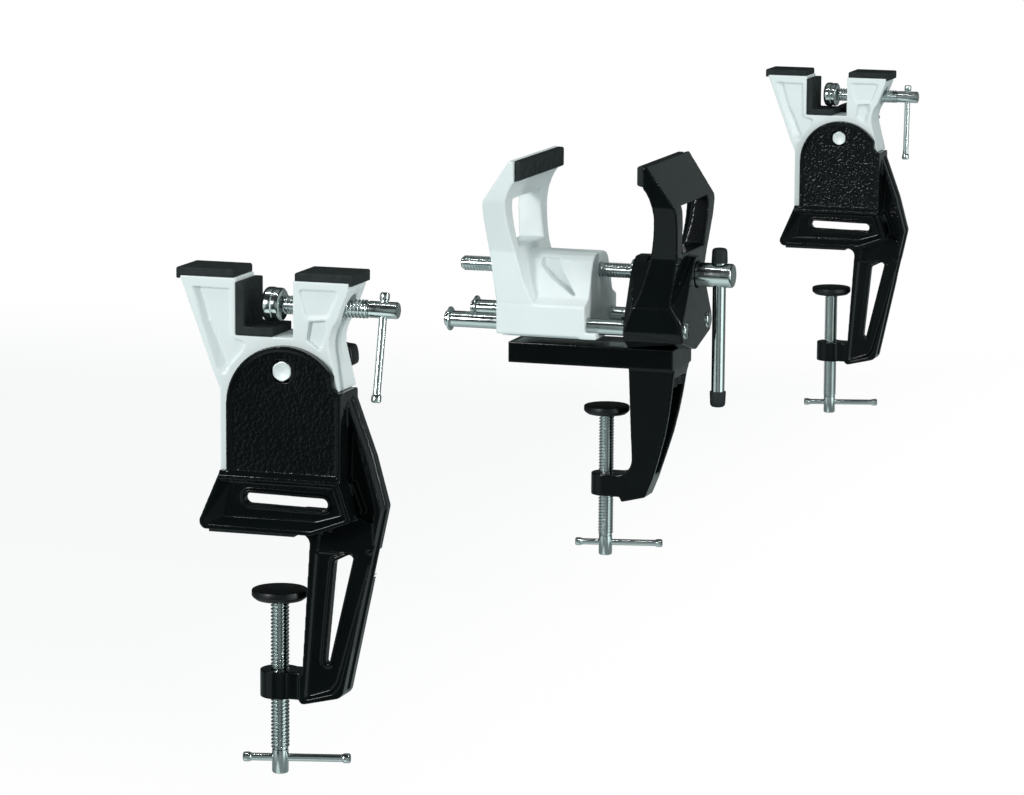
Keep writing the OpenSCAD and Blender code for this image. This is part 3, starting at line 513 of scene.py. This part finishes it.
def addHeadBolt(side):
    b = headBolt
    place = Vector((vises[side]["x"], *b["place"])) * mm
    half, sixth = b["flats"] / 2, math.pi / 3
    bm = bmesh.new()
    rings = [[] for level in range(5)]
    for level, ring in enumerate(rings):
        for i in range(b["steps"]):
            a = 2 * math.pi * i / b["steps"]
            corner = min(half / math.cos((a + sixth / 2) % sixth - sixth / 2), half * b["corner"])
            chamfer = max(0, corner - half * b["chamferFrom"]) * b["chamferSlope"]
            r, depth = ((corner, b["top"]), (corner, chamfer + b["step"]),
                        (corner * b["chamferFrom"], chamfer), (half * b["face"][0], 0.0),
                        (half * b["face"][1], b["step"]))[level]
            point = Vector((b["head"] + depth, r * math.cos(a), r * math.sin(a)))
            ring.append(bm.verts.new(place + point * mm))
    stack(bm, rings)
    start, r, end = b["head"] + b["under"], b["shank"], b["end"]
    turned(bm, [(0, start), (r, start), (r, end - 0.6), (r - 0.6, end), (0, end)], alongX, place)
    addPiece(side + "_headBolt", finish(bm, side + "HeadBolt", 25), side + "_head_bolt", zincFlake)
    bm = bmesh.new()
    turned(bm, ringProfile(b["washerBore"], b["washer"], *b["washerAt"], 0.25), alongX, place, 56)
    addPiece(side + "_knobWasher", finish(bm, side + "KnobWasher"), side + "_knob_washer")


# the plain end of a screw, which carries its bar
plainEnd = {"radius": 4.5, "nose": 3.4, "neck": 3.8, "barFromEnd": 8.5}


def addPlainEnd(bm, end, length, axis, place):
    p = plainEnd
    turned(bm, [(0, end), (p["nose"], end), (p["radius"] - 0.4, end + 0.3), (p["radius"], end + 1.0),
                (p["radius"], end + length - 0.6), (p["neck"], end + length)], axis, place)


clampScrew = {"length": 101.7, "plain": 13.5, "pad": 6.3, "neck": 4.0, "seat": 2.2}


def addClampScrew(side):
    c, grip = clampScrew, vises[side]["grip"]
    place = Vector((vises[side]["x"], 0, 0)) * mm
    end, shoulder, tip, r = -grip - c["length"], -grip - c["pad"], -grip - c["seat"], c["neck"]
    bm = bmesh.new()
    addPlainEnd(bm, end, c["plain"], alongZ, place)
    threaded(bm, end + c["plain"], shoulder, alongZ, place)
    turned(bm, [(r - 0.2, shoulder), (r, shoulder + 0.2), (r, tip - 0.2), (r - 0.4, tip), (0, tip)],
           alongZ, place)
    addPiece(side + "_clampScrew", finish(bm, side + "ClampScrew"), side + "_clamp_screw")


clampPad = {"radius": 15.25, "height": 6.0, "well": 4.05, "wellDepth": 5.0}


def addClampPad(side):
    c, top = clampPad, -vises[side]["grip"]
    low, r = top - c["height"], c["radius"]
    floor = low + c["wellDepth"]
    bm = bmesh.new()
    turned(bm, [(0, floor), (c["well"], floor), (c["well"], low), (r - 3.2, low), (r - 2.4, low + 0.2),
                (r - 0.6, low + 1.6), (r, low + 2.6), (r, top - 1.0), (r - 0.3, top - 0.4),
                (r - 1.0, top), (0, top)], alongZ, Vector((vises[side]["x"], 0, 0)) * mm, 72)
    addPiece(side + "_clampPad", finish(bm, side + "ClampPad", 30), side + "_clamp_pad")


# sliding bar with swaged ends, and how far a clamp bar stands off centre
slidingBar = {"length": 58.4, "radius": 2.1, "swage": 4.5, "swageRadius": 2.7, "shift": 9.0}


def addBar(name, node, centre, axis):
    b = slidingBar
    h, r, s, long = b["length"] / 2, b["radius"], b["swageRadius"], b["swage"]
    half = [(0, -h), (s * 0.72, -h), (s * 0.95, -h + 0.5), (s, -h + 1.3), (s, -h + long - 1.2),
            (s * 0.9, -h + long - 0.4), (r, -h + long)]
    bm = bmesh.new()
    turned(bm, half + [(radius, -along) for radius, along in reversed(half)], axis, centre, 32)
    addPiece(name, finish(bm, name), node)


def addClampBar(side):
    v, turn = vises[side], math.radians(vises[side]["turn"])
    away = Vector((math.sin(turn), -math.cos(turn), 0))
    middle = Vector((v["x"], 0, -v["grip"] - clampScrew["length"] + plainEnd["barFromEnd"]))
    addBar(side + "_clampBar", side + "_clamp_bar", (middle + away * slidingBar["shift"]) * mm, away)


# the jaw screw's height and ends, its spindle in the pad, and how far its bar hangs down
jawScrew = {"height": 122.0, "face": 7.75, "pad": 10.4, "end": -67.35, "plain": 16.5, "spindle": 3.0,
            "hang": 20.0}


def addJawScrew(side):
    j = jawScrew
    place = Vector((vises[side]["x"], 0, j["height"])) * mm
    end, back, face, r = j["end"], j["face"] - j["pad"], j["face"], j["spindle"]
    shoulder = back - 0.2
    bm = bmesh.new()
    addPlainEnd(bm, end, j["plain"], alongY, place)
    threaded(bm, end + j["plain"], shoulder, alongY, place)
    turned(bm, [(plainEnd["neck"], shoulder), (r, shoulder), (r, face - 2.2), (0, face - 2.2)], alongY, place)
    addPiece(side + "_jawScrew", finish(bm, side + "JawScrew"), side + "_jaw_screw")
    bm = bmesh.new()
    turned(bm, [(r + 0.05, back), (7.4, back), (8.2, back + 0.3), (8.8, back + 0.9), (9.0, back + 1.7),
                (9.0, back + 3.4), (8.7, back + 3.8), (8.7, back + 4.4), (9.2, back + 4.9),
                (9.3, back + 5.6), (9.3, face - 2.6), (9.1, face - 1.6), (8.4, face - 0.7),
                (7.2, face - 0.1), (6.4, face), (0, face)], alongY, place, 64)
    addPiece(side + "_jawPad", finish(bm, side + "JawPad"), side + "_jaw_pad")
    lean = math.radians(vises[side]["lean"])
    up = Vector((math.sin(lean), 0, math.cos(lean)))
    middle = Vector((vises[side]["x"], end + plainEnd["barFromEnd"], j["height"]))
    addBar(side + "_jawBar", side + "_jaw_bar", (middle - up * j["hang"]) * mm, up)


def addEndSupport(side):
    addSkin(side + "_star_knob", softSkin(side + "_star_knob", knob))
    addHeadBolt(side)
    addClampScrew(side)
    addClampPad(side)
    addClampBar(side)
    addJawScrew(side)


guideRod = {"across": 27.5, "height": 28.0, "radius": 5.4, "start": -62.9, "end": 104.0, "ring": 8.0,
            "ringAt": (100.0, 101.6), "pressed": (-60.9, -21.5), "pressedRadius": 6.2}


# the rods are pressed in: no gap shows around them
def fillRodBores(bm):
    g = guideRod
    start, end = g["pressed"]
    for s in (-1, 1):
        place = Vector((s * g["across"], 0, g["height"])) * mm
        turned(bm, [(0, start), (g["pressedRadius"], start), (g["pressedRadius"], end), (0, end)],
               alongY, place, 32)


def addGuideRods():
    g = guideRod
    start, end, r = g["start"], g["end"], g["radius"]
    rods, rings = bmesh.new(), bmesh.new()
    for s in (-1, 1):
        place = Vector((s * g["across"], 0, g["height"])) * mm
        turned(rods, [(0, start + 0.15), (r - 1.6, start + 0.1), (r - 1.0, start), (r - 0.3, start + 0.35),
                      (r, start + 0.9), (r, end - 0.8), (r - 0.8, end), (0, end)], alongY, place, 64)
        turned(rings, ringProfile(r, g["ring"], *g["ringAt"]), alongY, place, 56)
    addPiece("centre_guideRods", finish(rods, "centreGuideRods"), "centre_guide_rods")
    addPiece("centre_rodRings", finish(rings, "centreRodRings"), "centre_rod_rings")


# the front jaw's upright is hollow between its two flanges
jawHollow = {"outline": [(-30, 114), (-49.0, 114), (-49.4, 108), (-47.6, 92), (-43.5, 77), (-39.5, 70),
                         (-30, 70)], "half": 33}

# pockets in the rear jaw's sloping sides, in Y and Z: three-cornered, deepest at the foot; over
# them the side is filled out to its own slope, which is given as heights and half widths
rearPocket = {"outline": [(13.9, 46.8), (17.0, 47.2), (33.0, 58.0), (41.0, 66.0), (40.0, 71.0),
                          (28.3, 70.0), (24.4, 61.3), (20.5, 56.0)],
              "floor": 13.5, "open": 45,
              "filled": [(19.0, 57.4), (21.2, 57.4), (24.4, 61.3), (28.3, 69.3), (28.3, 70.6), (19.5, 70.6)],
              "fillFrom": 12,
              "side": [(46.6, 27.2), (57.0, 22.9), (64.6, 19.5), (69.4, 17.1), (72.4, 13.0)]}


def halfWidth(z):
    for low, high in zip(rearPocket["side"], rearPocket["side"][1:]):
        if z <= high[0]:
            return low[1] + (high[1] - low[1]) * (z - low[0]) / (high[0] - low[0])


def fillPockets(bm):
    p = rearPocket
    for s in (-1, 1):
        inner = [bm.verts.new(Vector((s * p["fillFrom"], y, z)) * mm) for y, z in p["filled"]]
        outer = [bm.verts.new(Vector((s * halfWidth(z), y, z)) * mm) for y, z in p["filled"]]
        stack(bm, [inner, outer])


def addCentreCastings():
    h, p = jawHollow, rearPocket
    hollow = (h["outline"], -h["half"], h["half"])
    pockets = [(p["outline"], s * p["floor"], s * p["open"]) for s in (-1, 1)]
    addSkin("centre_base", softSkin("centre_base", {**bigCasting, "passes": 8}))
    addSkin("centre_front_jaw", softSkin("centre_front_jaw", bigCasting, fillRodBores, [hollow]))
    rearSkinning = {**bigCasting, "passes": 6}
    addSkin("centre_rear_jaw", softSkin("centre_rear_jaw", rearSkinning, fillPockets, pockets))
    for node in ("centre_front_rubber", "centre_rear_rubber"):
        addSkin(node, softSkin(node, moulding))


jawBolt = {"across": 8.0, "along": -45.5, "low": -12.8, "high": -7.1, "radius": 5.0, "socket": 2.6,
           "shank": 3.0, "end": 23.6}


def addJawBolts():
    j = jawBolt
    low, high, end, r, hole, shank = (j[k] for k in ("low", "high", "end", "radius", "socket", "shank"))
    bm = bmesh.new()
    for s in (-1, 1):
        turned(bm, [(0, low + 2.8), (hole, low + 2.6), (hole, low + 0.3), (hole + 0.4, low), (r - 0.6, low),
                    (r, low + 0.6), (r, high), (shank, high), (shank, end - 0.5), (shank - 0.5, end),
                    (0, end)], alongZ, Vector((s * j["across"], j["along"], 0)) * mm)
    # the jaw bolts take the dark material, painted shade under the base
    addPiece("centre_jawBolts", finish(bm, "centreJawBolts"), "centre_jaw_bolts", boltPaintedShade)


# the main screw: its seat in the jaw, hub, plain shank and thread; its washer and collar; its bar
mainScrew = {"height": 62.0, "seat": -57.7, "washer": 1.6, "hubGap": 1.8, "hubEnd": -86.2, "hubRadius": 8.0,
             "shank": 4.9, "shankEnd": -21.4, "core": 3.9, "threadFrom": -21.6, "end": 102.0,
             "washerRadius": 8.6, "washerBore": 5.2, "collarRadius": 8.0, "collarAt": (-20.4, -17.3),
             "barAt": -76.4, "barTop": 18.2, "barLength": 106.0, "barRadius": 4.4, "cap": 10.5, "lip": 8.3}


def addMainScrew():
    j = mainScrew
    place = Vector((0, 0, j["height"] * mm))
    start, seat, r, end = j["hubEnd"], j["seat"] - j["hubGap"], j["hubRadius"], j["end"]
    bm = bmesh.new()
    turned(bm, [(0, start), (r - 1.5, start), (r - 0.7, start + 0.25), (r - 0.1, start + 1.0),
                (r, start + 1.8), (r, seat - 0.6), (r - 0.6, seat), (4, seat)], alongY, place, 64)
    turned(bm, [(j["shank"], seat - 0.2), (j["shank"], j["shankEnd"]), (j["core"], j["shankEnd"] + 0.6)],
           alongY, place)
    threaded(bm, j["threadFrom"], end - 1, alongY, place)
    turned(bm, [(j["core"], end - 1.1), (j["core"] - 0.5, end), (0, end)], alongY, place)
    addPiece("centre_mainScrew", finish(bm, "centreMainScrew"), "centre_main_screw")
    washer = ringProfile(j["washerBore"], j["washerRadius"], j["seat"] - j["washer"], j["seat"])
    collar = ringProfile(thread["radius"], j["collarRadius"], *j["collarAt"])
    for name, node, profile in (("centre_thrustWasher", "centre_thrust_washer", washer),
                                ("centre_screwCollar", "centre_screw_collar", collar)):
        bm = bmesh.new()
        turned(bm, profile, alongY, place, 56)
        addPiece(name, finish(bm, name), node)


def addMainBar():
    j = mainScrew
    place = Vector((0, j["barAt"] * mm, j["height"] * mm))
    top, bottom, r, lip = j["barTop"], j["barTop"] - j["barLength"], j["barRadius"], j["lip"]
    bm = bmesh.new()
    turned(bm, [(0, bottom + 2), (r - 0.4, bottom + 2), (r, bottom + 2.4), (r, top - 2.4), (r - 0.4, top - 2),
                (0, top - 2)], alongZ, place)
    addPiece("centre_mainBar", finish(bm, "centreMainBar"), "centre_main_bar")
    cap = [(r + 0.02, lip), (r + 0.85, lip), (r + 1.0, lip + 0.4), (r + 0.7, top - 2.6), (r + 0.4, top - 1.2),
           (r - 0.6, top - 0.3), (r - 2, top), (0, top)]
    longer = j["cap"] / (top - lip)  # the lower cap is a little longer, and upside down
    lower = [(radius, bottom + j["cap"] - (along - lip) * longer) for radius, along in cap]
    bm = bmesh.new()
    turned(bm, cap, alongZ, place)
    turned(bm, lower, alongZ, place)
    addPiece("centre_barCaps", finish(bm, "centreBarCaps"), "centre_bar_caps")


addFrames()
addHeads()
for side in ("near", "far"):
    addEndSupport(side)
addCentreCastings()
addJawBolts()
addGuideRods()
addClampScrew("centre")
addClampPad("centre")
addClampBar("centre")
addMainScrew()
addMainBar()
print("pieces made")


# Surroundings

# in metres; glow is the floor's whiteness to the camera in its middle, and mirrored is the share
# of it that shows in gloss; ambient and dark are the room's light and its darkest part in gloss
studio = {"floorZ": -0.172, "floorColour": "#ccd4d4", "floorX": (-0.75, 1.3), "floorY": (-0.12, 1.3),
          "glow": 0.88, "glowEdge": (0.2, 0.5), "mirrored": 0.45, "ambient": 0.62, "dark": 0.05,
          "shade": "#dcebea"}


# pale paper under the vises: it keeps their shadow and runs out into the white of the room
def addFloor(s):
    bm = bmesh.new()
    (left, right), (front, back) = s["floorX"], s["floorY"]
    corners = ((left, front), (right, front), (right, back), (left, back))
    bm.faces.new([bm.verts.new((x, y, s["floorZ"])) for x, y in corners])
    mesh = bpy.data.meshes.new("floor")
    bm.to_mesh(mesh)
    bm.free()
    floor = bpy.data.objects.new("floor", mesh)
    bpy.context.scene.collection.objects.link(floor)
    mat, tree, shader = newMaterial("paperFloor", s["floorColour"], 0.9, Specular_IOR_Level=0.0)
    mesh.materials.append(mat)
    path = addNode(tree, "ShaderNodeLightPath")
    seen = addNode(tree, "ShaderNodeMath", {"operation": "MAXIMUM"},
                   {0: path.outputs["Is Camera Ray"], 1: path.outputs["Is Transmission Ray"]})
    spot = addNode(tree, "ShaderNodeTexCoord").outputs["Generated"]
    across = addNode(tree, "ShaderNodeSeparateXYZ", None, {"Vector": spot})
    ways = []
    for axis in "XY":
        off = addNode(tree, "ShaderNodeMath", {"operation": "SUBTRACT", 1: 0.5}, {0: across.outputs[axis]})
        ways.append(addNode(tree, "ShaderNodeMath", {"operation": "ABSOLUTE"}, {0: off.outputs[0]}))
    rise = addNode(tree, "ShaderNodeMath", {"operation": "MAXIMUM"},
                   {0: ways[0].outputs[0], 1: ways[1].outputs[0]})
    share = addNode(tree, "ShaderNodeMapRange",
                    {"interpolation_type": "SMOOTHSTEP", "From Min": s["glowEdge"][0],
                     "From Max": s["glowEdge"][1], "To Min": s["glow"], "To Max": 1.0},
                    {"Value": rise.outputs[0]})
    amount = addNode(tree, "ShaderNodeMath", {"operation": "MULTIPLY"},
                     {0: seen.outputs[0], 1: share.outputs["Result"]})
    glow = addNode(tree, "ShaderNodeEmission", {"Color": (1, 1, 1, 1), "Strength": 1.0})
    lit = addNode(tree, "ShaderNodeMixShader", None,
                  {0: amount.outputs[0], 1: shader.outputs["BSDF"], 2: glow.outputs["Emission"]})
    gloss = addNode(tree, "ShaderNodeMath", {"operation": "MULTIPLY", 1: 1 - s["mirrored"]},
                    {0: path.outputs["Is Glossy Ray"]})
    opening = addNode(tree, "ShaderNodeBsdfTransparent")  # mirrors see the room through part of it
    last = addNode(tree, "ShaderNodeMixShader", None,
                   {0: gloss.outputs[0], 1: lit.outputs["Shader"], 2: opening.outputs["BSDF"]})
    tree.links.new(last.outputs["Shader"], tree.nodes["Material Output"].inputs["Surface"])


# soft boxes that gloss shows: the way to each from the vises, the closeness to it at which it
# fades in and is full, and its strength
softBoxes = [
    ((-0.68, 0.73, 0.0), 0.88, 0.95, 1.1),  # front left
    ((-0.62, 0.22, -0.77), 0.9, 0.96, 1.6),  # low in front
    ((-0.22, -0.97, 0.0), 0.86, 0.96, 2.0),  # right
    ((-0.96, -0.28, 0.05), 0.86, 0.97, 0.45),  # beside the camera
    ((0.85, -0.45, -0.1), 0.70, 0.97, 0.28),  # behind on the right
    ((0.1, 0.1, 1.0), 0.82, 0.97, 0.3),  # overhead
    ((0, 0, -1), 0.60, 0.95, 0.8),  # under the vises
]


# white behind the object; what gloss shows is a dark room with soft boxes
def addWorld(s):
    world = bpy.data.worlds.new("room")
    bpy.context.scene.world = world
    world.use_nodes = True
    tree = world.node_tree
    tree.nodes.clear()
    path = addNode(tree, "ShaderNodeLightPath")
    where = addNode(tree, "ShaderNodeTexCoord").outputs["Generated"]
    room = None
    for direction, start, full, power in softBoxes:
        near = addNode(tree, "ShaderNodeVectorMath",
                       {"operation": "DOT_PRODUCT", 1: Vector(direction).normalized()}, {0: where})
        box = addNode(tree, "ShaderNodeMapRange",
                      {"interpolation_type": "SMOOTHSTEP", "From Min": start, "From Max": full,
                       "To Min": s["dark"], "To Max": power},
                      {"Value": near.outputs["Value"]}).outputs["Result"]
        if room is None:
            room = box
        else:
            room = addNode(tree, "ShaderNodeMath", {"operation": "MAXIMUM"}, {0: room, 1: box}).outputs[0]
    seen = addNode(tree, "ShaderNodeMath", {"operation": "MAXIMUM"},
                   {0: path.outputs["Is Camera Ray"], 1: path.outputs["Is Transmission Ray"]}).outputs[0]
    unseen = addNode(tree, "ShaderNodeMix", {"data_type": "FLOAT", 2: s["ambient"]},
                     {0: path.outputs["Is Glossy Ray"], 3: room}).outputs[0]
    strength = addNode(tree, "ShaderNodeMix", {"data_type": "FLOAT", 3: 1.0}, {0: seen, 2: unseen}).outputs[0]
    # shade in this studio is cool, the background is plain white
    tint = addNode(tree, "ShaderNodeMix", {"data_type": "RGBA", 6: linear(s["shade"]), 7: (1, 1, 1, 1)},
                   {"Factor": seen})
    back = addNode(tree, "ShaderNodeBackground", None, {"Strength": strength, "Color": tint.outputs[2]})
    addNode(tree, "ShaderNodeOutputWorld", None, {"Surface": back.outputs["Background"]})


# place and size in metres and strength in watts; all look at the same spot
lamps = {"keyLamp": {"place": (-2.5, 1.1, 0.8), "size": (0.5, 0.5), "watts": 29},
         "rightStrip": {"place": (-0.7, -1.85, 0.75), "size": (0.02, 1.8), "watts": 20},
         "topStrip": {"place": (-0.9, 0.3, 2.0), "size": (2.0, 0.015), "watts": 9}}
lampAim = (0, 0, 0.03)


def addLamp(name, lamp):
    data = bpy.data.lights.new(name, "AREA")
    data.shape = "RECTANGLE"
    data.size, data.size_y = lamp["size"]
    data.energy = lamp["watts"]
    light = bpy.data.objects.new(name, data)
    light.location = lamp["place"]
    light.rotation_euler = (Vector(lampAim) - Vector(lamp["place"])).to_track_quat("-Z", "Y").to_euler()
    bpy.context.scene.collection.objects.link(light)


addFloor(studio)
addWorld(studio)
for name, lamp in lamps.items():
    addLamp(name, lamp)
print("surroundings made")
